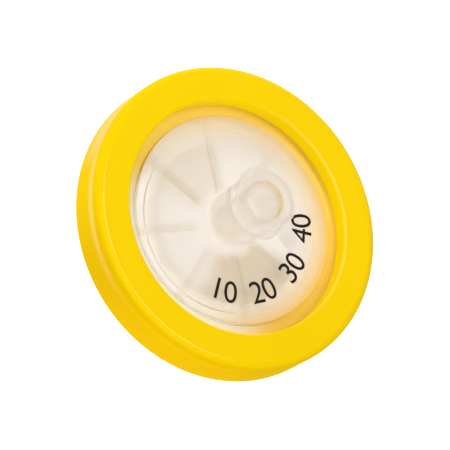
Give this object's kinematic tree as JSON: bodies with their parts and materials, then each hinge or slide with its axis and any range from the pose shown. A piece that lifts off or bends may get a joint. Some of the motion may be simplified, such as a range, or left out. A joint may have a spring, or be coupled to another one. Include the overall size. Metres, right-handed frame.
{
  "type": "syringe filter",
  "caption": "Disc-shaped syringe filter: a yellow ring moulded round clear halves that clamp a membrane, with a female Luer lock inlet and a male Luer slip outlet.",
  "frame": {"origin": "centre of the inlet's mouth, on the flow axis", "axes": "+Z along the flow axis, out of the inlet towards the syringe; the ring, the membrane and the outlet lie below the origin; +X and +Y lie in the plane of the membrane"},
  "size_m": [0.034, 0.034, 0.0209],
  "materials": {
    "ring": "satin moulded, opaque yellow",
    "clear_housing": "natural clear polypropylene, slightly milky",
    "membrane": "matt white porous film"
  },
  "bodies": {
    "root": {"overmould_ring": "ring", "inlet_housing": "clear_housing", "membrane": "membrane", "outlet_housing": "clear_housing"}
  },
  "joints": []
}
